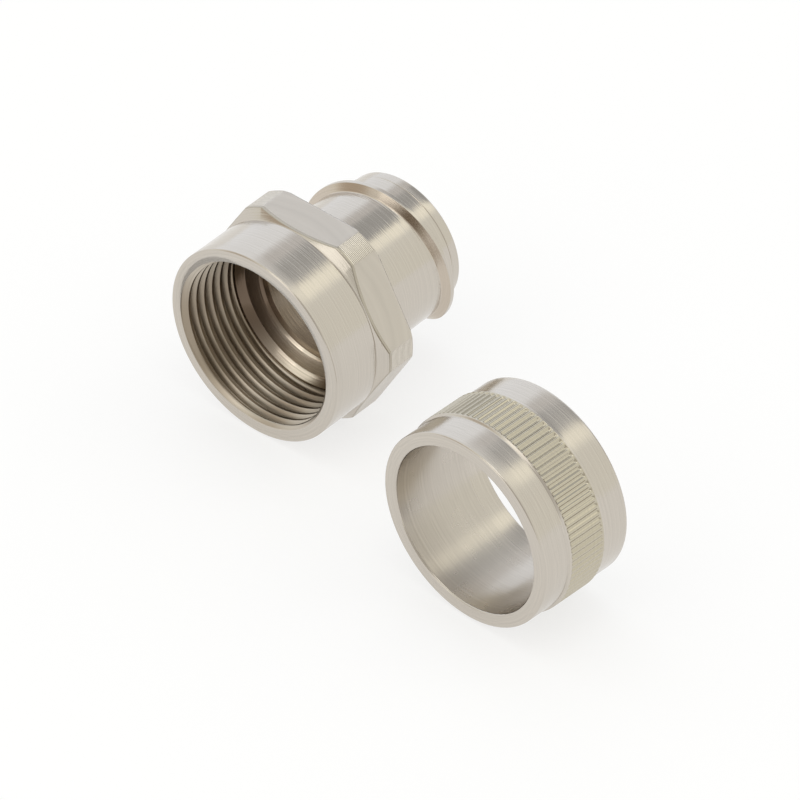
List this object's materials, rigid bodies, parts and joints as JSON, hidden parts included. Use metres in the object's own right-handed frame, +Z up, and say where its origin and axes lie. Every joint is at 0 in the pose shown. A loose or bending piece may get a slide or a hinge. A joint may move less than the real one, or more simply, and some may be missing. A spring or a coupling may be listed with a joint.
{
  "type": "conduit gland",
  "caption": "Nickel-plated female-threaded gland for metal conduit, with a hexagon, a stub with a screw-in ridge and a loose knurled clamping sleeve.",
  "frame": {"origin": "centre of the gland's threaded mouth, in the plane of its rim", "axes": "+X out of the threaded mouth along the gland's axis, +Z up, square to the hexagon flat that the gland lies on, +Y towards the loose sleeve"},
  "size_m": [0.0394, 0.0737, 0.0282],
  "materials": {
    "gland_nickel": "satin",
    "sleeve_nickel": "satin"
  },
  "bodies": {
    "gland": {"gland_body": "gland_nickel"},
    "sleeve": {"clamping_sleeve": "sleeve_nickel"}
  },
  "joints": [
    {"name": "sleeve_slide", "type": "slide", "parent": "gland", "child": "sleeve", "axis": [0.9986, -0.0523, 0], "range_m": [0, 0.0156]}
  ]
}
